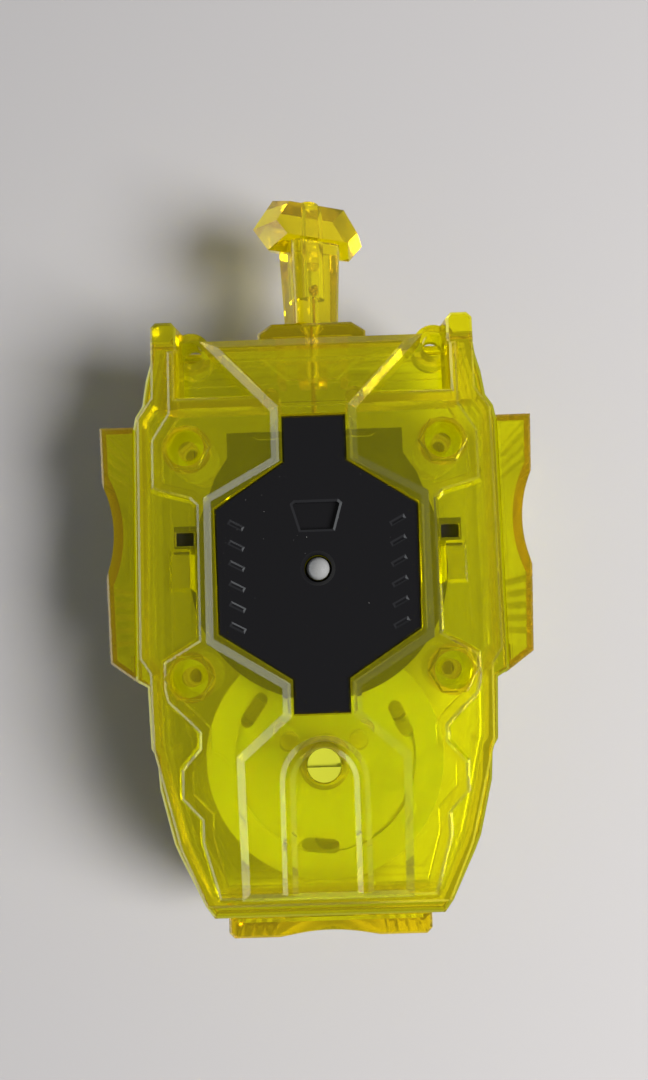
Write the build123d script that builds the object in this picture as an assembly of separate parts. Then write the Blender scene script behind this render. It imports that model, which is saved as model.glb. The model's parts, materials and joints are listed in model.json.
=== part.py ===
"""String-pull launcher for spinning tops, in millimetres.

Frame: +Z up out of the top plate, +Y towards the pull handle, origin on the rotor's axis at the
nose of its hub. The launcher lies on the undersides of its three grips.
"""
import os
from math import acos, atan2, cos, degrees, hypot, pi, radians, sin, sqrt, tan

from build123d import *

# ---- driving dimensions -------------------------------------------------------------------
WALL = 1.8               # moulded wall
SKIN = 1.6               # moulded top and floor
EDGE = 0.3               # height of the broken edge of every moulded step
EDGE_LEAN = 1.4          # how much wider than high a broken edge is
SEAM = 0.2               # half of the small groove where the two halves of the case meet
REST_Z = -2.2            # underside of the grips
FLANGE_Z = (5.5, 8.0)    # rotor flange
FLOOR_Z = (8.5, 10.3)    # lower case floor
GEAR_Z = (11.2, 14.8)    # all three gears
STRING_Z = 19.2          # string, and the line where the two halves of the case part
SHOULDER_Z = 25.0        # low front, side and rear shoulders of the upper case
LEDGE_Z = 30.2           # arms, side bays and the ledge round the main top face
FACE_Z = 32.0            # main top face
PANEL_Z = 33.0           # raised centre panel
PANEL_SLOPE = 1.4        # how far the panel's sloping rim leans in over its height
PLATE_Z = (30.6, 32.4)   # black plate in the panel
DISC_Z = (25.6, 27.6)    # bearing disc under the plate
PAD_Z = 28.6             # underside of the thick pad that backs the plate

BELT_Z = (13.4, 14.4)    # groove round the lower case

MODULE = 0.8             # of all the gears
PRESSURE_ANGLE = 20.0
ADDENDUM = 0.72          # short teeth, moulded
DEDENDUM = 1.0
BACKLASH = 0.15
SPOOL_TEETH = 46
SMALL_TEETH = 16         # idler and output gear alike
SPOOL_XY = (0.0, -32.0)
IDLER_XY = (-9.15, -8.95)

DRUM_R = 12.0            # what the string winds on
FLANGE_R = 20.3          # spool flanges
STRING_R = 0.5
WINDING_Z = (15.9, 22.5)
WOUND_R = DRUM_R + STRING_R

HUB_R = 5.0              # the nose that a top fits round
SHAFT_R = 4.0            # hollow spindle
PIN_R = 1.9              # sliding pin inside it
RUNNING = 0.06           # radial clearance of everything that turns

BODY_X = 32.2            # half width of the case
FRONT_Y = 41.4
STEP_Y = 30.3            # front edge of the main top face
REAR_Y = -58.0
GRIP_X = 38.9            # half width over the side grips, at their front
GRIP_TAPER = 1.7         # how much nearer the middle their rear end is
GRIP_WALL = 1.5          # wall of the hollow side grips
POSTS = [(21.7, 21.0), (21.7, -17.4), (-21.7, 21.0), (-21.7, -17.4)]
POST_R = 4.2
PEGS = [(7.1, 29.5), (-7.1, 29.5), (5.8, -28.5), (-5.8, -28.5)]
LUG_XY = (21.7, 39.6)    # eyes at the two front corners
GUIDE_PIN_XY = (1.85, 27.0)
GUIDE_PIN_R = 1.2
HANDLE_Y = 45.1          # near end of the handle's stem
HANDLE_TURN = 24.0       # how far the handle hangs turned about the string
KNOT_Y = 52.5
STRING_BEND_R = 8.0      # of the string's centre line where it passes the guide pin


# ---- helpers ------------------------------------------------------------------------------
def mirrored(points):
    """A closed outline, counterclockwise, from its +X half listed from the front to the rear."""
    return [(-x, y) for x, y in points] + points[::-1]


def face_of(points, z=0.0):
    return Plane.XY.offset(z) * make_face(Polyline(*points, close=True))


def prism(points, z0, z1):
    return extrude(face_of(points, z0), z1 - z0)


def shrunk(points, inset):
    """A counterclockwise outline with each side moved inwards by inset."""
    moved = []
    for i, (x, y) in enumerate(points):
        before = Vector(x, y) - Vector(*points[i - 1])
        after = Vector(*points[(i + 1) % len(points)]) - Vector(x, y)
        before, after = before.normalized(), after.normalized()
        share = inset / (1 + before.dot(after))
        moved.append((x - (before.Y + after.Y) * share, y + (before.X + after.X) * share))
    return moved


def slab(low, high, z0, z1):
    """The solid between an outline at z0 and one with as many points at z1."""
    low, high = [(x, y, z0) for x, y in low], [(x, y, z1) for x, y in high]
    loops = [low, high]
    for i in range(len(low)):
        loops.append([low[i - 1], low[i], high[i], high[i - 1]])
    return Solid(Shell([Face(Wire.make_polygon(loop)) for loop in loops]))


def tapered(points, z0, z1, inset):
    """A prism whose walls lean in by inset over its height."""
    return slab(points, shrunk(points, inset), z0, z1)


def tapered_down(points, z0, z1, inset):
    """A prism that narrows by inset towards its underside."""
    return slab(shrunk(points, inset), points, z0, z1)


def layer(points, z0, z1, inset=0.0, edge=EDGE):
    """One step of the case: walls that lean in by inset, then a broken top edge."""
    waist, top = shrunk(points, inset), shrunk(points, inset + edge * EDGE_LEAN)
    return slab(points, waist, z0, z1 - edge) + slab(waist, top, z1 - edge, z1)


def inner(points, z0, z1, gap=WALL):
    """The room inside an outline, gap from its edge."""
    return extrude(offset(face_of(points, z0), -gap, kind=Kind.INTERSECTION), z1 - z0)


def disc(r, z0, z1, xy=(0.0, 0.0)):
    return Pos(xy[0], xy[1], z0) * extrude(Circle(r), z1 - z0)


def tube(r_in, r_out, z0, z1, xy=(0.0, 0.0)):
    return disc(r_out, z0, z1, xy) - disc(r_in, z0 - 1, z1 + 1, xy)


def block(x0, x1, y0, y1, z0, z1):
    return Pos((x0 + x1) / 2, (y0 + y1) / 2, (z0 + z1) / 2) * Box(x1 - x0, y1 - y0, z1 - z0)


def both(shape):
    """A shape and its mirror image across the middle plane."""
    return shape + mirror(shape, Plane.YZ)


def ridge(points, width, z0, z1):
    """A straight-sided rib along an open line of points."""
    rib = Part()
    for (xa, ya), (xb, yb) in zip(points, points[1:]):
        length = hypot(xb - xa, yb - ya)
        place = Pos((xa + xb) / 2, (ya + yb) / 2, z0) * Rot(0, 0, degrees(atan2(yb - ya, xb - xa)))
        rib += place * extrude(SlotOverall(length + width, width), z1 - z0)
    return rib


# ---- outlines -----------------------------------------------------------------------------
LOWER = mirrored([
    (28.6, FRONT_Y), (29.0, 38.0), (29.9, 34.6), (30.5, 30.4), (31.8, 28.4), (BODY_X, 26.2),
    (BODY_X, -18.0), (30.2, -19.2), (29.7, -29.6), (28.7, -31.2), (28.3, -36.4), (26.0, -45.5),
    (24.9, -48.0), (20.9, -56.0), (19.4, REAR_Y)])
UPPER = mirrored([
    (22.9, STEP_Y), (22.9, 42.9), (24.0, 44.2), (27.2, 44.2), (28.4, 43.0), (28.4, 30.6), (30.9, 27.0),
    (30.9, -14.2), (29.2, -16.8), (28.8, -29.2), (27.1, -35.6), (24.5, -45.6), (20.2, -55.2)])
FACE = mirrored([
    (22.9, STEP_Y), (22.9, 38.6), (25.3, 38.6), (25.3, 27.4), (28.2, 22.8), (28.2, 13.9), (26.3, 13.2),
    (21.6, 11.9), (20.7, 11.0), (20.7, -10.9), (26.6, -14.4), (26.6, -19.2), (26.0, -21.6), (22.0, -25.4),
    (20.9, -26.6), (20.9, -28.6), (23.9, -32.0), (23.9, -37.2), (20.7, -40.6), (20.7, -44.0), (17.9, -53.6)])
PANEL = mirrored([
    (19.0, 39.4), (7.3, 26.9), (7.3, 18.9), (18.9, 12.5), (18.9, -11.9), (6.5, -19.5), (6.5, -23.6),
    (14.3, -30.4), (13.8, -53.2)])
FAN = mirrored([(19.0, 39.4), (7.3, 26.9)])
FAN_ROOM = mirrored([(14.9, 37.6), (5.6, 28.2), (5.6, 26.0)])
PLATE = mirrored([
    (5.4, 25.9), (5.4, 18.1), (17.1, 10.4), (16.8, -10.4), (4.7, -18.2), (4.7, -23.8)])


# ---- case ---------------------------------------------------------------------------------
def upper_case():
    body = tapered_down(LOWER, STRING_Z, STRING_Z + SEAM, SEAM)
    body += layer(LOWER, STRING_Z + SEAM, SHOULDER_Z)
    body += layer(UPPER, SHOULDER_Z, LEDGE_Z, 0.5) + prism(FAN, SHOULDER_Z, FACE_Z)
    body += layer(FACE, LEDGE_Z, FACE_Z, 0.6)
    body -= inner(LOWER, STRING_Z - 1, SHOULDER_Z - SKIN)
    behind_step = block(-BODY_X, BODY_X, REAR_Y, STEP_Y - WALL, 0, PANEL_Z)
    body -= inner(UPPER, STRING_Z - 1, LEDGE_Z - SKIN, gap=WALL + 0.3) & behind_step
    body -= inner(FACE, LEDGE_Z - SKIN, FACE_Z - SKIN, gap=WALL + 0.4) & behind_step
    body -= prism(FAN_ROOM, STRING_Z - 1, FACE_Z - SKIN)
    body += both(disc(3.7, STRING_Z, SHOULDER_Z, LUG_XY))
    body += top_relief()
    body += prism(PLATE, PAD_Z, FACE_Z) + ceiling_posts()
    return body - upper_holes()


def top_relief():
    """What stands up from the top: panel, arch, rims of the posts, tabs of the side bays, fine lines."""
    relief = tapered(PANEL, FACE_Z, PANEL_Z, PANEL_SLOPE) + arch(6.0, -34.5, -52.0)
    for x, y in POSTS:
        rim = Pos(x, y, FACE_Z - 0.1) * extrude(RegularPolygon(4.3, 6), 0.8, taper=25)
        relief += rim
    marks = tube(3.1, 3.45, FACE_Z - 0.1, FACE_Z + 0.2, (18.7, -32.8))
    tab = Pos(22.9, 0.5, LEDGE_Z - 0.1) * extrude(Rectangle(4.4, 7.4), 1.7, taper=22)
    marks += tab + ridge([(25.6, 11.6), (21.7, 10.6), (21.7, -9.8)], 0.5, LEDGE_Z - 0.1, LEDGE_Z + 0.4)
    marks += ridge([(11.0, 39.9), (4.2, 33.5)], 0.5, SHOULDER_Z - 0.1, SHOULDER_Z + 0.4)
    marks += ridge([(10.7, 27.8), (10.7, 22.6), (7.6, 22.6)], 0.35, FACE_Z - 0.1, FACE_Z + 0.2)
    return relief + both(marks)


def arch(x, y, rear_y):
    """A raised line with sloping sides, round the arbor's front and back along both its sides."""
    foot, crest, z0, z1 = 1.4, 0.4, PANEL_Z - 0.1, PANEL_Z + 0.6
    section = [(x - foot, z0), (x + foot, z0), (x + crest, z1), (x - crest, z1)]
    profile = Plane.XZ * make_face(Polyline(*section, close=True))
    bow = Pos(0, y, 0) * revolve(profile, Axis.Z, revolution_arc=180)
    side = Pos(0, y, 0) * extrude(profile, y - rear_y)
    return bow + both(side)


def ceiling_posts():
    """What hangs from the inside of the top: screw posts, disc stand-offs, pegs and arbor boss."""
    posts = Part()
    for x, y in POSTS:
        posts += disc(POST_R, STRING_Z, FACE_Z - 1, (x, y))
    for x, y in disc_screw_places():
        posts += disc(2.4, DISC_Z[1], PAD_Z + 1, (x, y))
    for x, y in PEGS:
        posts += disc(1.5, SHOULDER_Z + 1, FACE_Z - 1, (x, y))
    posts += tube(2.9, 4.2, 24.4, FACE_Z - 1, SPOOL_XY)
    pocket = RectangleRounded(21.0, 6.2, 1.2) - RectangleRounded(19.8, 5.0, 0.8)
    return posts + Pos(0, 25.5, FACE_Z - SKIN - 1.0) * extrude(pocket, 1.2)


def upper_holes():
    """Plate recess, pin hole, post pockets, lug eyes, side bays and the window for the guide."""
    cut = extrude(offset(face_of(PLATE, PLATE_Z[0]), 0.15, kind=Kind.INTERSECTION), 5)
    cut += disc(2.3, PAD_Z - 1, PANEL_Z)
    cut += disc(2.9, FACE_Z - 2, PANEL_Z + 1, SPOOL_XY)
    for x, y in POSTS:
        cut += tube(1.7, 3.15, 20.8, PANEL_Z, (x, y)) + disc(3.15, FACE_Z - 2.4, PANEL_Z, (x, y))
        cut += disc(1.2, STRING_Z - 1, 23.0, (x, y))
    for x, y in disc_screw_places():
        cut += disc(0.95, DISC_Z[1] - 1, PAD_Z + 0.8, (x, y))
    cut += both(disc(2.0, STRING_Z - 1, SHOULDER_Z + 1, LUG_XY))
    cut += both(side_bay())
    cut += block(-6.6, 6.6, 38, 43, STRING_Z - 1, SHOULDER_Z - SKIN)
    return cut


def side_bay():
    """The eye in front of the tab, which an accessory hooks into, and a dimple behind it."""
    eye = block(20.9, 24.1, 4.6, 7.0, SHOULDER_Z, LEDGE_Z + 2)
    return eye + block(21.4, 24.4, -9.2, -4.6, LEDGE_Z - 0.4, LEDGE_Z + 2)


def lower_case():
    bevel_z = FLOOR_Z[0] + 1.4
    body = layer(LOWER, bevel_z, STRING_Z, edge=SEAM) + tapered_down(LOWER, FLOOR_Z[0], bevel_z, 0.9)
    body -= inner(LOWER, FLOOR_Z[1], STRING_Z + 1)
    body -= prism(LOWER, *BELT_Z) - inner(LOWER, *BELT_Z, gap=0.5)
    body += underside_ribs()
    for x, y in POSTS:
        body += disc(POST_R - 0.8, FLOOR_Z[0], STRING_Z, (x, y))
    for x in (GUIDE_PIN_XY[0], -GUIDE_PIN_XY[0]):
        body += disc(1.7, FLOOR_Z[0], 14.0, (x, GUIDE_PIN_XY[1]))
    body += disc(2.6, FLOOR_Z[0], GEAR_Z[0] - 0.4, IDLER_XY)
    body += disc(5.5, FLOOR_Z[0], GEAR_Z[0] - 0.4, SPOOL_XY)
    body -= disc(5.95, FLOOR_Z[0] - 1, FLOOR_Z[1] + 1)
    for x, y in POSTS:
        body -= disc(1.3, FLOOR_Z[0] - 1, STRING_Z + 1, (x, y))
        body -= disc(2.5, FLOOR_Z[0] - 1, FLOOR_Z[0] + 2.2, (x, y))
    for x in (GUIDE_PIN_XY[0], -GUIDE_PIN_XY[0]):
        body -= disc(GUIDE_PIN_R + 0.02, FLOOR_Z[1], 15, (x, GUIDE_PIN_XY[1]))
    body -= disc(1.52, FLOOR_Z[0] + 0.6, 15, IDLER_XY)
    body -= Pos(*SPOOL_XY, FLOOR_Z[0] - 1) * extrude(RegularPolygon(3.05, 6), 5)
    body -= block(-6.6, 6.6, 38, 43, 15.0, STRING_Z + 1)
    return body


def underside_ribs():
    """The collar round the rotor, a bead along the edge and the stiffening ribs of the heel."""
    z0, z1 = FLOOR_Z[0] - 1.0, FLOOR_Z[0] + 0.5
    ribs = tube(14.8, 16.3, FLOOR_Z[0] - 3.0, z1)
    ribs += inner(LOWER, z0, z1, gap=2.2) - inner(LOWER, z0, z1, gap=3.6)
    for y in (-38.0, -42.5, -47.0):
        ribs += block(-14.0, 14.0, y - 0.6, y + 0.6, z0, z1)
    ribs += tube(3.9, 5.1, z0, z1, SPOOL_XY)
    ribs += both(block(8.4, 9.6, 15.5, 37.0, z0, z1) + block(8.4, 9.6, -36.0, -14.5, z0, z1))
    return ribs


def top_plate():
    top = PLATE_Z[1]
    plate = slab(PLATE, PLATE, PLATE_Z[0], top - 0.3) + slab(PLATE, shrunk(PLATE, 0.35), top - 0.3, top)
    key = [(4.4, 10.9), (3.7, 11.5), (-3.7, 11.5), (-4.4, 10.9), (-3.0, 6.1), (3.0, 6.1)]
    plate -= tapered_down(key, top - 0.3, top, 0.4) + prism(shrunk(key, 0.4), top - 1.2, top - 0.3)
    plate -= Pos(0, 0, top) * Cone(2.3, 2.9, 0.6, align=(Align.CENTER, Align.CENTER, Align.MAX))
    plate -= disc(2.3, PLATE_Z[0] - 1, top)
    dash = [(1.4, 0.45), (-1.4, 0.45), (-1.4, -0.45), (1.4, -0.45)]
    for row in range(6):
        for side in (-1, 1):
            groove = tapered_down(dash, -0.25, 0, 0.35)
            plate -= Pos(side * 13.5, 7.6 - 3.4 * row, top) * Rot(0, 0, side * 28) * groove
    return plate


def bearing_disc():
    """A black disc with two front ears and a tab under each eye, which holds the top of the spindle."""
    body = disc(22.0, *DISC_Z) + disc(6.0, DISC_Z[0] - 1.4, DISC_Z[0])
    ear = [(0, 0), (20.4, 8.2), (17.4, 16.4), (15.2, 19.8), (15.2, 24.2), (4.0, 24.2)]
    body += both(prism(ear, *DISC_Z)) + block(-24.6, 24.6, 3.4, 8.2, *DISC_Z)
    body -= disc(SHAFT_R + RUNNING, DISC_Z[0] - 2, DISC_Z[1] + 1)
    for x, y in disc_screw_places():
        body -= disc(1.15, DISC_Z[0] - 1, DISC_Z[1] + 1, (x, y))
    return body


def disc_screw_places(radius=14.2):
    return [(radius * cos(radians(a)), radius * sin(radians(a))) for a in (35, 145, 270)]


def disc_screws():
    return Part() + [screw(1.9, 0.9, DISC_Z[0] - 1.0, DISC_Z[1] + 1.4, xy) for xy in disc_screw_places()]


def case_screws():
    return Part() + [screw(2.3, 1.1, FLOOR_Z[0] + 0.2, 22.4, xy) for xy in POSTS]


def screw(head_r, r, z0, z1, xy):
    """A pan-head screw driven upwards, with a cross recess in its head."""
    head = 1.0
    body = disc(head_r, z0, z0 + head, xy) + disc(r, z0 + head, z1, xy)
    cross = Box(head_r * 1.2, 0.5, 1.0) + Box(0.5, head_r * 1.2, 1.0)
    return body - Pos(xy[0], xy[1], z0) * cross


# ---- grips --------------------------------------------------------------------------------
def side_grip():
    """The +X grip: a hollow finger rest with ribs each side of a shallow scallop."""
    x0, x1, front, rear = BODY_X + 0.1, GRIP_X, 27.3, -15.2
    slope = GRIP_TAPER / (front - rear)
    outline = [(x0 - 1, rear - 4.3), (x1 - GRIP_TAPER, rear), (x1, front), (x0 - 1, front)]
    grip = layer(outline, SHOULDER_Z - 4, SHOULDER_Z - 0.6, 0.5)
    grip += prism(outline, REST_Z + 3, SHOULDER_Z - 4)
    grip += tapered_down(outline, REST_Z, REST_Z + 3, 0.8)
    scallop_r, scallop_y = 21.0, 7.6
    scallop_x = x1 - slope * (front - scallop_y) - 2.2 + scallop_r
    grip -= Pos(scallop_x, scallop_y, 11) * Cylinder(scallop_r, 60)
    for y in [26.1 - 2.3 * i for i in range(5)] + [-2.4 - 2.3 * i for i in range(5)]:
        grip -= Pos(x1 - slope * (front - y) + 0.2, y, 11) * Rot(0, 0, 45) * Box(1.15, 1.15, 60)
    room = inner(outline, REST_Z + 1.2, SHOULDER_Z - 2.0, gap=GRIP_WALL)
    room += block(x0 - 1, x0 + 2, rear + 1.5, front - GRIP_WALL, REST_Z + 1.2, SHOULDER_Z - 2.0)
    grip -= room - Pos(scallop_x, scallop_y, 11) * Cylinder(scallop_r + GRIP_WALL, 60)
    grip += block(x0 - 1, x0 + 0.6, rear - 2.0, front - 1.0, SHOULDER_Z - 0.8, SHOULDER_Z)
    return grip & block(x0, x1, rear - 5, front, REST_Z, SHOULDER_Z)


def rear_grip():
    """The rest for the heel of the hand, across the rear of the case."""
    half, y0, y1, bottom = 17.9, REAR_Y - 0.1, -62.8, 6.0
    outline = mirrored([(half, y0), (half, y1 + 1.2), (half - 1.2, y1)])
    grip = layer(outline, 18.0, 22.0, 0.5) + prism(outline, bottom + 3, 18.0)
    grip += tapered_down(outline, bottom, bottom + 3, 0.8)
    scallop_r = 34.0
    grip -= Pos(0, y1 + 1.6 - scallop_r, 10) * Cylinder(scallop_r, 60)
    for x in [9.9 + 1.9 * i for i in range(4)]:
        for side in (-1, 1):
            grip -= Pos(side * x, y1 - 0.2, 10) * Rot(0, 0, 45) * Box(1.0, 1.0, 60)
    grip -= block(-half + WALL, half - WALL, y0 - 2.4, y0 + 1, bottom + WALL, 18.0)
    return grip


# ---- string, its guide and the handle -----------------------------------------------------
def string_guide():
    z0, z1 = STRING_Z - 4.0, STRING_Z + 4.0
    flange = [(7.2, 44.6), (9.7, 42.9), (9.7, FRONT_Y + 0.1)]
    guide = layer(mirrored(flange), z0 - 1.6, z1 + 1.6)
    guide += block(-6.4, 6.4, 34.6, FRONT_Y + 1, z0, z1)
    bore = Pos(0, 40, STRING_Z) * Rot(90, 0, 0)
    guide -= bore * Cylinder(1.1, 40)
    mouth = Cone(1.1, 2.3, 1.2, align=(Align.CENTER, Align.CENTER, Align.MAX))
    guide -= Pos(0, 44.6, STRING_Z) * Rot(-90, 0, 0) * mouth
    guide -= both(block(2.6, 5.0, 33, 40.4, z0 - 2, z1 - 1.2))
    return guide


def guide_pins():
    x, y = GUIDE_PIN_XY
    return both(disc(GUIDE_PIN_R, FLOOR_Z[1] + 0.1, 24.6, (x, y)))


def string_points():
    """Where the run leaves the winding, where it passes the guide pin, and its end at the knot."""
    bend = (0.0, GUIDE_PIN_XY[1])
    far = hypot(bend[0] - SPOOL_XY[0], bend[1] - SPOOL_XY[1])
    lean = atan2(WOUND_R, far * sqrt(1 - (WOUND_R / far) ** 2))
    clear = sqrt((WOUND_R + 2.4 * STRING_R) ** 2 - WOUND_R ** 2)
    touch = (SPOOL_XY[0] + WOUND_R * cos(lean), SPOOL_XY[1] + WOUND_R * sin(lean))
    start = (touch[0] - clear * sin(lean), touch[1] + clear * cos(lean))
    return start, bend, (0.0, KNOT_Y - 1.6)


def pull_string():
    """The straight run from the spool, past the guide pin and through the guide to the knot."""
    start, bend, end = string_points()
    path = FilletPolyline(*[(x, y, STRING_Z) for x, y in (start, bend, end)], radius=STRING_BEND_R)
    section = Plane(origin=path @ 0, z_dir=path % 0) * Circle(STRING_R)
    run = sweep(section, path)
    swept = pi * STRING_R ** 2 * path.length
    print(f"pull string: {path.length:.1f} mm, bend radius {STRING_BEND_R} mm")
    print(f"pull string: volume {run.volume:.2f}, section times length {swept:.2f}")
    return run


def string_winding():
    return tube(DRUM_R + 0.05, DRUM_R + 0.95, *WINDING_Z, SPOOL_XY)


def string_knot():
    return Pos(0, KNOT_Y, STRING_Z) * Sphere(1.6)


def pull_handle():
    """A gem-cut cross bar on a tapered stem, hollow for the string and its knot."""
    bar = [(7.0, 69.0), (11.0, 62.8), (8.2, 59.4), (-8.2, 59.4), (-11.0, 62.8), (-7.0, 69.0)]
    table = [(5.4, 67.2), (8.0, 63.2), (6.0, 61.0), (-6.0, 61.0), (-8.0, 63.2), (-5.4, 67.2)]
    gem = loft([face_of(bar, 0), face_of(table, 4.4)])
    gem += mirror(gem, Plane.XY)
    root = Plane.XZ.offset(-60.5) * RectangleRounded(9.8, 8.4, 1.6)
    tip = Plane.XZ.offset(-HANDLE_Y) * RectangleRounded(8.6, 7.2, 1.4)
    handle = gem + loft([tip, root])
    handle -= Pos(0, 50, 0) * Rot(90, 0, 0) * Cylinder(0.8, 20)
    handle -= Pos(0, KNOT_Y - 2, 0) * Rot(-90, 0, 0) * extrude(Circle(2.1), 20)
    return Pos(0, 0, STRING_Z) * Rot(0, HANDLE_TURN, 0) * handle


def handle_plug():
    plug = Pos(0, 69.0, 0) * Rot(90, 0, 0) * extrude(Circle(2.05), 12)
    return Pos(0, 0, STRING_Z) * Rot(0, HANDLE_TURN, 0) * plug


# ---- gears and spool ----------------------------------------------------------------------
def gear_outline(teeth, phase):
    """Involute teeth as a closed outline, with one tooth centred at the phase angle in degrees."""
    pitch_r = MODULE * teeth / 2
    base_r = pitch_r * cos(radians(PRESSURE_ANGLE))
    root_r, tip_r = pitch_r - DEDENDUM * MODULE, pitch_r + ADDENDUM * MODULE
    low_r = max(base_r, root_r)
    half_pitch_angle = (pi * MODULE / 2 - BACKLASH) / (2 * pitch_r)
    spread = half_pitch_angle + involute(radians(PRESSURE_ANGLE))
    flank = [low_r + (tip_r - low_r) * i / 3 for i in range(4)]
    half = [(root_r, spread)] if root_r < low_r - 0.01 else []
    half += [(r, spread - involute(acos(base_r / r))) for r in flank]
    points = []
    for tooth in range(teeth):
        middle = radians(phase) + 2 * pi * tooth / teeth
        for r, a in half:
            points.append((r * cos(middle - a), r * sin(middle - a)))
        for r, a in reversed(half):
            points.append((r * cos(middle + a), r * sin(middle + a)))
    return points


def involute(angle):
    return tan(angle) - angle


def gear(teeth, phase, xy):
    return Pos(*xy, 0) * prism(gear_outline(teeth, phase), *GEAR_Z)


def gear_phases():
    """Tooth angles that put idler and output gear in mesh with the spool's tooth at angle 0."""
    to_idler = degrees(atan2(IDLER_XY[1] - SPOOL_XY[1], IDLER_XY[0] - SPOOL_XY[0]))
    idler = to_idler + 180 + 180 / SMALL_TEETH + to_idler * SPOOL_TEETH / SMALL_TEETH
    to_output = degrees(atan2(-IDLER_XY[1], -IDLER_XY[0]))
    output = to_output + 180 + 180 / SMALL_TEETH - (idler - to_output)
    return idler, output


def spool_gear():
    """The large gear, its lower flange, the drum and the pocket for the spring."""
    body = gear(SPOOL_TEETH, 0.0, SPOOL_XY)
    body += disc(FLANGE_R - 0.5, GEAR_Z[1], GEAR_Z[1] + 1.0, SPOOL_XY)
    body += disc(DRUM_R, GEAR_Z[1], WINDING_Z[1] + 0.1, SPOOL_XY)
    body -= disc(10.6, GEAR_Z[0] + 1.6, 30, SPOOL_XY)
    body -= disc(3.0 + RUNNING, 0, 30, SPOOL_XY)
    for i in range(6):
        a = radians(60 * i + 30)
        x, y = SPOOL_XY[0] + 14.9 * cos(a), SPOOL_XY[1] + 14.9 * sin(a)
        body -= disc(2.4, GEAR_Z[0] - 1, GEAR_Z[1] + 2, (x, y))
    return body


def spool_cap():
    """The upper flange, which closes the drum."""
    z = WINDING_Z[1] + 0.1
    cap = disc(FLANGE_R, z, z + 1.1, SPOOL_XY)
    cap += tube(9.2, 10.5, z - 2.0, z, SPOOL_XY)
    cap -= tube(14.9, 15.6, z + 0.6, z + 2, SPOOL_XY)
    for turn in (25, 145, 265):
        slot = Rot(0, 0, turn) * Pos(14.6, 0, z - 1) * extrude(SlotOverall(6.6, 2.4, rotation=90), 4)
        cap -= Pos(*SPOOL_XY, 0) * slot
    return cap - disc(3.0 + RUNNING, 0, 30, SPOOL_XY)


def spring_cover():
    return tube(3.0 + RUNNING, 10.5, 17.6, 18.6, SPOOL_XY)


def clock_spring(turns=6.5, r_start=3.5, pitch=1.05, strip=0.3):
    """The flat spiral spring that winds the string back, each half turn an arc about one of two centres."""
    coil = Part()
    for half in range(int(turns * 2)):
        r = r_start + pitch * half / 2 + pitch / 4
        side = 1 if half % 2 == 0 else -1
        ring = Circle(r + strip / 2) - Circle(r - strip / 2)
        ring &= Pos(0, side * 20, 0) * Rectangle(60, 40)
        coil += Pos(SPOOL_XY[0] - side * pitch / 4, SPOOL_XY[1], 13.1) * extrude(ring, 4.2)
    return coil


def spring_arbor():
    """The fixed post that the spool turns on, with a slot in its top end for winding the spring up."""
    post = Pos(*SPOOL_XY, FLOOR_Z[0] + 0.1) * extrude(RegularPolygon(3.0, 6), 2.2)
    post += disc(3.0, GEAR_Z[0] - 0.4, 24.2, SPOOL_XY)
    post += disc(2.75, 24.2, PANEL_Z - 0.2, SPOOL_XY)
    post += Pos(SPOOL_XY[0] + 3.0, SPOOL_XY[1], 15.2) * Box(0.6, 0.8, 4.2)
    return post - Pos(*SPOOL_XY, PANEL_Z - 0.2) * Box(7.0, 0.6, 1.4)


def idler_gear():
    body = gear(SMALL_TEETH, gear_phases()[0], IDLER_XY)
    body += disc(3.2, GEAR_Z[0], GEAR_Z[1] + 0.8, IDLER_XY)
    return body - disc(1.5 + RUNNING, 0, 30, IDLER_XY)


def idler_pin():
    pin = disc(1.5, FLOOR_Z[0] + 0.6, GEAR_Z[1] + 1.0, IDLER_XY)
    return pin + disc(2.6, GEAR_Z[1] + 1.0, GEAR_Z[1] + 1.8, IDLER_XY)


# ---- spindle ------------------------------------------------------------------------------
def prong_rotor():
    """Hub, flange, three hooked prongs and the hollow spindle, in one moulding."""
    rotor = disc(HUB_R, 0.0, FLANGE_Z[0]) + disc(13.6, *FLANGE_Z)
    rotor += disc(SHAFT_R, FLANGE_Z[1], DISC_Z[1] - 0.2)
    for turn in (30, 150, 270):
        rotor += Rot(0, 0, turn) * prong()
    for turn in (90, 210, 330):
        rotor -= Rot(0, 0, turn) * block(8.4, 11.4, -3.2, 3.2, FLANGE_Z[0] - 1, FLANGE_Z[1] + 1)
    rotor -= disc(PIN_R + 0.1, -1, 40)
    return rotor - disc(3.3, 20.0, 40)


def prong():
    """A curved claw: an arc of wall that hangs from the flange with a hook at its leading end."""
    wall = tube(9.4, 12.4, 0.0, FLANGE_Z[0] + 0.5)
    wall &= prism([(0, 0), (20, -7.5), (20, 7.5)], 0, FLANGE_Z[0] + 0.5)
    hook = tube(9.4, 12.4, 0.0, 2.0)
    hook &= prism([(0, 0), (20, 7.5), (20, 15.5)], 0, 2.0)
    return wall + hook


def output_gear():
    return gear(SMALL_TEETH, gear_phases()[1], (0, 0)) - disc(SHAFT_R + 0.02, 0, 30)


def retaining_clip():
    clip = tube(SHAFT_R + 0.02, 5.9, GEAR_Z[1] + 0.1, GEAR_Z[1] + 0.7)
    return clip - block(0, 8, -1.4, 1.4, 0, 30)


def spindle_bush():
    return tube(SHAFT_R + RUNNING, 5.93, FLOOR_Z[0] - 0.2, FLOOR_Z[1])


def thrust_washer():
    return tube(SHAFT_R + 0.09, 7.0, FLOOR_Z[1] + 0.05, GEAR_Z[0] - 0.1)


def sensor_pin():
    """The white pin through the spindle, which a top pushes up until it stands proud of the plate."""
    pin = disc(PIN_R, REST_Z + 0.4, PLATE_Z[1] - 0.9)
    pin += Pos(0, 0, PLATE_Z[1] - 0.9) * scale(Sphere(PIN_R), (1, 1, 0.75))
    return pin + disc(3.05, 20.6, 21.6)


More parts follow.
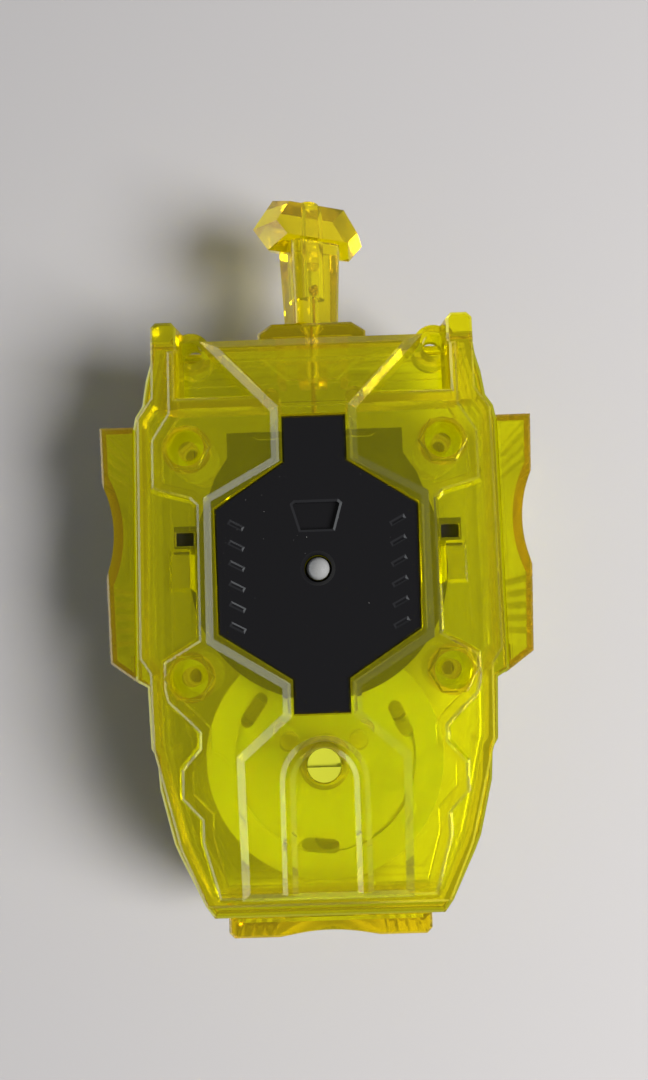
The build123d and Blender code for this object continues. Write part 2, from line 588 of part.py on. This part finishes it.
def pin_spring():
    """The compression spring that holds the pin down."""
    wire_r, coil_r, z0, z1 = 0.22, 2.55, 21.85, 28.3
    path = Helix(pitch=(z1 - z0) / 6, height=z1 - z0, radius=coil_r)
    coil = sweep(Plane(origin=path @ 0, z_dir=path % 0) * Circle(wire_r), path, is_frenet=True)
    return Pos(0, 0, z0) * coil


NODES = {
    "upper_case": upper_case(),
    "lower_case": lower_case(),
    "top_plate": top_plate(),
    "bearing_disc": bearing_disc(),
    "disc_screws": disc_screws(),
    "case_screws": case_screws(),
    "side_grip_right": side_grip(),
    "side_grip_left": mirror(side_grip(), Plane.YZ),
    "rear_grip": rear_grip(),
    "string_guide": string_guide(),
    "guide_pins": guide_pins(),
    "pull_string": pull_string(),
    "string_winding": string_winding(),
    "string_knot": string_knot(),
    "pull_handle": pull_handle(),
    "handle_plug": handle_plug(),
    "spool_gear": spool_gear(),
    "spool_cap": spool_cap(),
    "spring_cover": spring_cover(),
    "clock_spring": clock_spring(),
    "spring_arbor": spring_arbor(),
    "idler_gear": idler_gear(),
    "idler_pin": idler_pin(),
    "prong_rotor": prong_rotor(),
    "output_gear": output_gear(),
    "retaining_clip": retaining_clip(),
    "spindle_bush": spindle_bush(),
    "thrust_washer": thrust_washer(),
    "sensor_pin": sensor_pin(),
    "pin_spring": pin_spring(),
}

os.makedirs("parts", exist_ok=True)
for node, shape in NODES.items():
    export_step(shape, f"parts/{node}.step")
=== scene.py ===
"""The looks of the string launcher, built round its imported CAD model. Lengths are in metres."""
import json
from math import atan2, cos, hypot, pi, radians, sin, sqrt, tan

import bmesh
import bpy
from mathutils import Matrix, Vector


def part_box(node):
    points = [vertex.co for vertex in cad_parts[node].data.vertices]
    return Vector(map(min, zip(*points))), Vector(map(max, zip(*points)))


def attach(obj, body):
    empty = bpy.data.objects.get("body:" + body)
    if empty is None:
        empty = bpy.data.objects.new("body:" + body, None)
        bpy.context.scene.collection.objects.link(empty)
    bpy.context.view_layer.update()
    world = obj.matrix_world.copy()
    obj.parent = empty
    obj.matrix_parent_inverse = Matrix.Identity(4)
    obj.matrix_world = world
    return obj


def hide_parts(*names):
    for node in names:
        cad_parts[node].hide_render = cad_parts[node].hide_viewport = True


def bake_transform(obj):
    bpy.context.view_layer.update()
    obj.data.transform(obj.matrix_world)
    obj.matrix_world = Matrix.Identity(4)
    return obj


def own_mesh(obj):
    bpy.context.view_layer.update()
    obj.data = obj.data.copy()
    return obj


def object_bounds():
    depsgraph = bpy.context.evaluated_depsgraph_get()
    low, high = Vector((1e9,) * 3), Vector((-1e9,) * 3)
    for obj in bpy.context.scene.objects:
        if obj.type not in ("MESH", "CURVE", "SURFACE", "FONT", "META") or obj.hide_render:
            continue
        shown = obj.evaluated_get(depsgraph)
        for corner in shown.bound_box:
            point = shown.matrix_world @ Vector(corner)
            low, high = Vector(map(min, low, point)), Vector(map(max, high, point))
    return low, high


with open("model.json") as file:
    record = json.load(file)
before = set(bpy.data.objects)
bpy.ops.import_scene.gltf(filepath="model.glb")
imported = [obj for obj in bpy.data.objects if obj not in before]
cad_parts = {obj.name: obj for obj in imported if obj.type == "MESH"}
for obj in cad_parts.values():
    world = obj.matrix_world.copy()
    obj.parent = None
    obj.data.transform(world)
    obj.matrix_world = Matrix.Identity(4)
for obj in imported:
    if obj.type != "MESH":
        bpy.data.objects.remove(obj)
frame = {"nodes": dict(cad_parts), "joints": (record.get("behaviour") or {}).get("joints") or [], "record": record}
cad_low, cad_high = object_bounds()

MM = 0.001
# camera
CAMERA_PLACE = Vector((2.6, -9.4, 178.0)) * MM
CAMERA_TARGET = Vector((1.15, 4.6, 33.0)) * MM
CAMERA_ROLL = radians(-1.9)
FOCAL_LENGTH = 29.33          # this and the next in mm, as Blender takes them
SENSOR_HEIGHT = 36.0
# floor
FLOOR_HALF = 1.6
FLOOR_GAP = 0.1 * MM          # kept under the lowest point of the object
# pull string and its knot
STRING_R = 0.48 * MM          # outer radius of the twisted cord
STRAND_LAY = 2.6 * MM         # length in which its three strands make one turn
STRAND_GROOVE = 0.14          # half the depth between the strands, as a share of the radius
RUN_STEP = 0.2 * MM           # between the rings of the run
BEND_R = 8.0 * MM             # of the run where it passes the guide pins
BEND_STEPS = 6
SPOOL_TURNS = 5.8
KNOT_STEPS = 90
KNOT_SHARE = 0.97             # of a closed trefoil, so that its two ends stay apart
# spring of the white pin
WIRE_R = 0.22 * MM
COIL_TURNS = 6


# ---- places read from the frame -----------------------------------------------------------
def middle(name):
    low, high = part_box(name)
    return (low + high) / 2


def joint(name):
    return next(row for row in frame["joints"] if row["name"] == name)


def joint_place(name):
    return Vector(joint(name)["pos_m"])


# ---- camera, light and floor --------------------------------------------------------------
def make_camera():
    """Looks almost straight down, leaning a little towards the pull handle."""
    forward = (CAMERA_TARGET - CAMERA_PLACE).normalized()
    right = forward.cross(Vector((0, 1, 0))).normalized()
    up = right.cross(forward)
    turn = Matrix((right, up, -forward)).transposed() @ Matrix.Rotation(CAMERA_ROLL, 3, "Z")
    data = bpy.data.cameras.new("camera")
    data.sensor_fit = "VERTICAL"
    data.sensor_height = SENSOR_HEIGHT
    data.lens = FOCAL_LENGTH
    data.clip_start = 5 * MM
    camera = bpy.data.objects.new("camera", data)
    camera.matrix_world = Matrix.Translation(CAMERA_PLACE) @ turn.to_4x4()
    bpy.context.scene.collection.objects.link(camera)
    bpy.context.scene.camera = camera


def area_light(name, place, target, size, power, colour, only_reflected):
    """A rectangular light that is either only seen in reflections or never seen in them."""
    data = bpy.data.lights.new(name, "AREA")
    data.shape = "RECTANGLE"
    data.size, data.size_y = size
    data.energy = power
    data.color = colour
    light = bpy.data.objects.new(name, data)
    light.location = place
    aim = Vector(target) - Vector(place)
    light.rotation_euler = aim.to_track_quat("-Z", "Y").to_euler()
    light.visible_diffuse = light.visible_transmission = not only_reflected
    light.visible_glossy = only_reflected
    bpy.context.scene.collection.objects.link(light)


def make_lights():
    """A soft key from the right, and a low window along the left that the sloping rims mirror."""
    area_light("key", place=(0.56, -0.20, 0.62), target=(0, 0, 0.01), size=(0.42, 0.42),
               power=16.0, colour=(1.0, 0.97, 0.92), only_reflected=False)
    area_light("window", place=(-0.60, 0.0, 0.20), target=(0, 0, 0.02), size=(2.6, 0.34),
               power=5.5, colour=(0.93, 0.97, 1.0), only_reflected=True)
    # the default transform greys so saturated a yellow
    bpy.context.scene.view_settings.view_transform = "Standard"


def make_room():
    """Walls that are pale near the horizon and a ceiling that is dim overhead."""
    horizon, high_wall, ceiling = (0.36, 0.37, 0.39), (0.30, 0.31, 0.33), 0.08
    world = bpy.data.worlds.new("studio")
    world.use_nodes = True
    tree = world.node_tree
    split = tree.nodes.new("ShaderNodeSeparateXYZ")
    tree.links.new(tree.nodes.new("ShaderNodeTexCoord").outputs["Generated"], split.inputs["Vector"])
    walls = ramp(tree, split.outputs["Z"], [(0.0, horizon), (0.55, high_wall), (0.92, ceiling)])
    tree.links.new(walls, tree.nodes["Background"].inputs["Color"])
    bpy.context.scene.world = world


def make_floor():
    """A sheet of pale paper."""
    half, z = FLOOR_HALF, cad_low.z - FLOOR_GAP
    mesh = bpy.data.meshes.new("floor")
    mesh.from_pydata([(-half, -half, z), (half, -half, z), (half, half, z), (-half, half, z)],
                     [], [(0, 1, 2, 3)])
    floor = bpy.data.objects.new("floor", mesh)
    bpy.context.scene.collection.objects.link(floor)
    material, _, _ = new_material("floor_paper", (0.37, 0.366, 0.38), 0.85)
    floor.data.materials.append(material)


# ---- material helpers ---------------------------------------------------------------------
def new_material(name, colour, roughness, **sockets):
    """A Principled material with its uniform values set on the shader itself."""
    material = bpy.data.materials.new(name)
    material.use_nodes = True
    tree = material.node_tree
    shader = tree.nodes["Principled BSDF"]
    shader.inputs["Base Color"].default_value = (*colour, 1)
    shader.inputs["Roughness"].default_value = roughness
    for socket, value in sockets.items():
        shader.inputs[socket.replace("_", " ")].default_value = value
    return material, tree, shader


def node(tree, kind, **inputs):
    made = tree.nodes.new(kind)
    for socket, value in inputs.items():
        made.inputs[socket].default_value = value
    return made


def object_coords(tree):
    return tree.nodes.new("ShaderNodeTexCoord").outputs["Object"]


def noise(tree, scale, detail=3.0, rough=0.5, coords=None):
    """Noise of about scale lumps in a metre."""
    made = node(tree, "ShaderNodeTexNoise", Scale=scale, Detail=detail, Roughness=rough)
    tree.links.new(coords or object_coords(tree), made.inputs["Vector"])
    return made.outputs["Fac"]


def scratches(tree, scale, turn):
    """Fine hairlines: noise drawn out along one direction."""
    mapping = tree.nodes.new("ShaderNodeMapping")
    mapping.inputs["Rotation"].default_value = (0, 0, turn)
    mapping.inputs["Scale"].default_value = (1, 0.05, 1)
    tree.links.new(object_coords(tree), mapping.inputs["Vector"])
    return noise(tree, scale, 2.0, 0.6, mapping.outputs["Vector"])


def ramp(tree, source, stops):
    """Maps a grey value through (position, colour or grey) stops."""
    made = tree.nodes.new("ShaderNodeValToRGB")
    elements = made.color_ramp.elements
    while len(elements) < len(stops):
        elements.new(0.5)
    for element, (position, value) in zip(elements, stops):
        element.position = position
        element.color = (*value, 1) if isinstance(value, tuple) else (value, value, value, 1)
    tree.links.new(source, made.inputs["Fac"])
    return made.outputs["Color"]


def vary(tree, shader, socket, source, stops):
    """Lets a grey value, mapped through stops, set a socket of the shader."""
    tree.links.new(ramp(tree, source, stops), shader.inputs[socket])


def bump(tree, shader, height, strength, distance):
    made = node(tree, "ShaderNodeBump", Strength=strength, Distance=distance)
    tree.links.new(height, made.inputs["Height"])
    tree.links.new(made.outputs["Normal"], shader.inputs["Normal"])


def darker(colour, share):
    return tuple(channel * share for channel in colour)


# ---- materials ----------------------------------------------------------------------------
def clear_plastic(name, colour, deep, density, painted_glow):
    """Clear fluorescent moulding: tinted through its depth, with faint haze and handling scuffs; its glow is
    painted light, an even emission that stands in for light passing through it.
    """
    haze, scuffed = 0.08, 0.18
    polished, dulled = 0.04, 0.12
    # The emission is a painted glow: the plastic gives off light of its own, standing in for light that passes
    # through it.
    material, tree, shader = new_material(
        name, colour, haze, IOR=1.5, Transmission_Weight=0.98, Coat_Weight=0.25,
        Emission_Color=(*painted_glow, 1), Emission_Strength=0.042)
    scuffs = noise(tree, 900.0, 4.0, 0.7)
    vary(tree, shader, "Base Color", noise(tree, 60.0), [(0.3, colour), (0.7, darker(colour, 0.96))])
    vary(tree, shader, "Roughness", scuffs, [(0.45, haze), (0.75, scuffed)])
    vary(tree, shader, "Coat Roughness", scuffs, [(0.45, polished), (0.75, dulled)])
    bump(tree, shader, noise(tree, 140.0, 2.0), 0.08, 0.4 * MM)
    volume = node(tree, "ShaderNodeVolumeAbsorption", Density=density, Color=(*deep, 1))
    tree.links.new(volume.outputs["Volume"], tree.nodes["Material Output"].inputs["Volume"])
    return material


def black_plate():
    """Glossy black with faint hairlines and a few specks of dust."""
    black, dust = (0.006, 0.006, 0.007), (0.10, 0.10, 0.10)
    gloss, haze = 0.10, 0.20
    material, tree, shader = new_material("plate_black_gloss", black, gloss, IOR=1.5)
    hairs = scratches(tree, 700.0, 0.7)
    vary(tree, shader, "Roughness", hairs, [(0.55, gloss), (0.75, haze)])
    vary(tree, shader, "Base Color", noise(tree, 2600.0, 1.0), [(0.80, black), (0.84, dust)])
    bump(tree, shader, hairs, 0.03, 0.1 * MM)
    return material


def moulded(name, colour, rough, **sockets):
    """An opaque satin moulding with slight flow marks."""
    material, tree, shader = new_material(name, colour, rough, **sockets)
    grain = noise(tree, 700.0)
    vary(tree, shader, "Base Color", noise(tree, 45.0), [(0.3, colour), (0.7, darker(colour, 0.86))])
    vary(tree, shader, "Roughness", grain, [(0.35, rough * 0.8), (0.7, rough * 1.25)])
    bump(tree, shader, grain, 0.12, 0.1 * MM)
    return material


def metal(name, colour, rough):
    """Plated or turned metal with fine lines."""
    material, tree, shader = new_material(name, colour, rough, Metallic=1.0)
    lines = scratches(tree, 900.0, 0.0)
    vary(tree, shader, "Roughness", lines, [(0.3, rough * 0.7), (0.7, rough * 1.4)])
    vary(tree, shader, "Base Color", noise(tree, 300.0), [(0.3, colour), (0.75, darker(colour, 0.8))])
    bump(tree, shader, lines, 0.06, 0.1 * MM)
    return material


def string_fibre():
    """Tan cord with fibres that catch the light."""
    pale, dark = (0.50, 0.32, 0.13), (0.30, 0.17, 0.06)
    material, tree, shader = new_material("string_braid", pale, 0.75, Sheen_Weight=0.3)
    fibres = noise(tree, 5200.0, 2.0)
    vary(tree, shader, "Base Color", fibres, [(0.3, pale), (0.7, dark)])
    bump(tree, shader, fibres, 0.5, 0.2 * MM)
    return material


def make_materials():
    """One material for each material slot of the record."""
    return {
        # Each glow colour below is painted light: an emission standing in for light that passes through the
        # plastic.
        "case_plastic": clear_plastic(
            "case_yellow", (0.95, 1.0, 0.02),
            deep=(0.9988, 0.983, 0.03), density=1500.0, painted_glow=(0.76, 0.70, 0.0)),
        "handle_plastic": clear_plastic(
            "handle_amber", (0.95, 0.93, 0.005),
            deep=(0.9985, 0.987, 0.02), density=1700.0, painted_glow=(0.78, 0.68, 0.0)),
        "plate_black": black_plate(),
        "disc_black": moulded("disc_satin_black", (0.014, 0.014, 0.015), 0.38),
        "rotor_plastic": moulded("rotor_grey", (0.05, 0.05, 0.055), 0.42),
        "spool_plastic": moulded("spool_pale", (0.68, 0.71, 0.33), 0.45, Subsurface_Weight=0.2),
        "gear_plastic": moulded("gear_white", (0.82, 0.82, 0.76), 0.42),
        "arbor_plastic": moulded("arbor_yellow", (0.42, 0.44, 0.03), 0.35),
        "pin_plastic": moulded("pin_white", (0.20, 0.205, 0.21), 0.28),
        "steel": metal("steel_plated", (0.58, 0.58, 0.60), 0.30),
        "spring_steel": metal("steel_spring", (0.42, 0.43, 0.45), 0.28),
        "brass": metal("brass_turned", (0.72, 0.52, 0.22), 0.28),
        "string": string_fibre(),
    }


# ---- CAD nodes ----------------------------------------------------------------------------
def dress_nodes(materials):
    slots = {part["node"]: part["material_slot"] for part in frame["record"]["subparts"]}
    for name, piece in frame["nodes"].items():
        piece.data.materials.clear()
        piece.data.materials.append(materials[slots[name]])


# ---- cords and wires ----------------------------------------------------------------------
def cord_mesh(name, points, radius, sides=12, groove=STRAND_GROOVE):
    """A closed cord of three strands twisted together, or a plain wire where groove is 0."""
    mesh = bmesh.new()
    rings = []
    travelled, side = 0.0, Vector((0, 0, 1))
    for i, point in enumerate(points):
        before, after = points[max(i - 1, 0)], points[min(i + 1, len(points) - 1)]
        along = (after - before).normalized()
        side = (side - along * side.dot(along)).normalized()
        across = along.cross(side)
        travelled += (point - before).length
        ring = []
        for k in range(sides):
            angle = 2 * pi * k / sides
            twist = 2 * pi * travelled / STRAND_LAY
            reach = radius * (1 - groove + groove * cos(3 * (angle - twist)))
            ring.append(mesh.verts.new(point + (side * cos(angle) + across * sin(angle)) * reach))
        rings.append(ring)
    for low, high in zip(rings, rings[1:]):
        for k in range(sides):
            mesh.faces.new((low[k], low[(k + 1) % sides], high[(k + 1) % sides], high[k]))
    mesh.faces.new(rings[0][::-1])
    mesh.faces.new(rings[-1])
    bmesh.ops.recalc_face_normals(mesh, faces=mesh.faces)
    data = bpy.data.meshes.new(name)
    mesh.to_mesh(data)
    mesh.free()
    for face in data.polygons:
        face.use_smooth = len(face.vertices) == 4
    cord = bpy.data.objects.new(name, data)
    bpy.context.scene.collection.objects.link(cord)
    return cord


def spaced(points, step):
    """The line through points, with more points on it about a step apart."""
    line = [points[0]]
    for a, b in zip(points, points[1:]):
        count = max(1, round((b - a).length / step))
        line += [a.lerp(b, (i + 1) / count) for i in range(count)]
    return line


def helix(centre, radius, bottom, top, turns, per_turn):
    """Points along a helix about a line parallel to Z."""
    count = int(turns * per_turn)
    points = []
    for i in range(count + 1):
        angle = 2 * pi * turns * i / count
        x, y = centre.x + radius * cos(angle), centre.y + radius * sin(angle)
        points.append(Vector((x, y, bottom + (top - bottom) * i / count)))
    return points


# ---- spring of the white pin --------------------------------------------------------------
def make_pin_coil(material):
    """The white pin's spring, as a rigid coil carried by the pin; the real one shortens, since the pin lifts its
    lower end and its top stays put.
    """
    low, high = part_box("pin_spring")
    centre, radius = (low + high) / 2, (high.x - low.x) / 2 - WIRE_R
    points = helix(centre, radius, low.z + WIRE_R, high.z - WIRE_R, COIL_TURNS, per_turn=40)
    coil = cord_mesh("pin_coil", points, WIRE_R, sides=8, groove=0.0)
    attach(coil, "pin")
    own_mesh(coil)
    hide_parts("pin_spring")
    coil.data.materials.append(material)


# ---- string -------------------------------------------------------------------------------
def string_path(knot, winding_r):
    """The run: off the winding, past the guide pins in a small curve, then straight out to the knot."""
    spool, pins = joint_place("spool_spin"), middle("guide_pins")
    far = hypot(pins.x - spool.x, pins.y - spool.y)
    lean = atan2(winding_r, sqrt(far ** 2 - winding_r ** 2))
    start = Vector((spool.x + winding_r * cos(lean), spool.y + winding_r * sin(lean), knot.z))
    centre = Vector((BEND_R, pins.y + BEND_R * tan(lean / 2), knot.z))
    angles = [lean * (1 - i / BEND_STEPS) for i in range(BEND_STEPS + 1)]
    return [start] + [centre - Vector((cos(a), sin(a), 0)) * BEND_R for a in angles] + [knot]


def make_run(knot, winding_r):
    """The straight part, which the pull handle draws out of the case."""
    run = cord_mesh("string_run", spaced(string_path(knot, winding_r), RUN_STEP), STRING_R)
    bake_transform(run)
    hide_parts("pull_string")
    return run


def make_winding(low, high, winding_r):
    """The turns on the spool."""
    spool = joint_place("spool_spin")
    turns = helix(spool, winding_r, low.z + STRING_R, high.z - STRING_R, SPOOL_TURNS, per_turn=120)
    winding = cord_mesh("string_turns", turns, STRING_R, sides=8)
    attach(winding, "spool")
    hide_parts("string_winding")
    return winding


def make_knot(knot):
    """A trefoil knot inside the handle, which reaches three sizes from its middle."""
    size = (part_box("string_knot")[1].y - knot.y - STRING_R) / 3
    loops = []
    for i in range(KNOT_STEPS + 1):
        t = 2 * pi * i / KNOT_STEPS * KNOT_SHARE
        loops.append(knot + Vector((sin(t) + 2 * sin(2 * t), -sin(3 * t), cos(t) - 2 * cos(2 * t))) * size)
    tied = cord_mesh("string_tie", loops, STRING_R)
    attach(tied, "handle")
    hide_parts("string_knot")
    return tied


def make_string(material):
    """The run out to the handle, the turns on the spool and the knot, each in place of its CAD node."""
    knot = middle("string_knot")
    low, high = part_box("string_winding")
    winding_r = (high.x - low.x) / 2 - STRING_R
    for piece in (make_run(knot, winding_r), make_winding(low, high, winding_r), make_knot(knot)):
        piece.data.materials.append(material)


make_camera()
make_lights()
make_room()
make_floor()
materials = make_materials()
dress_nodes(materials)
make_string(materials["string"])
make_pin_coil(materials["spring_steel"])
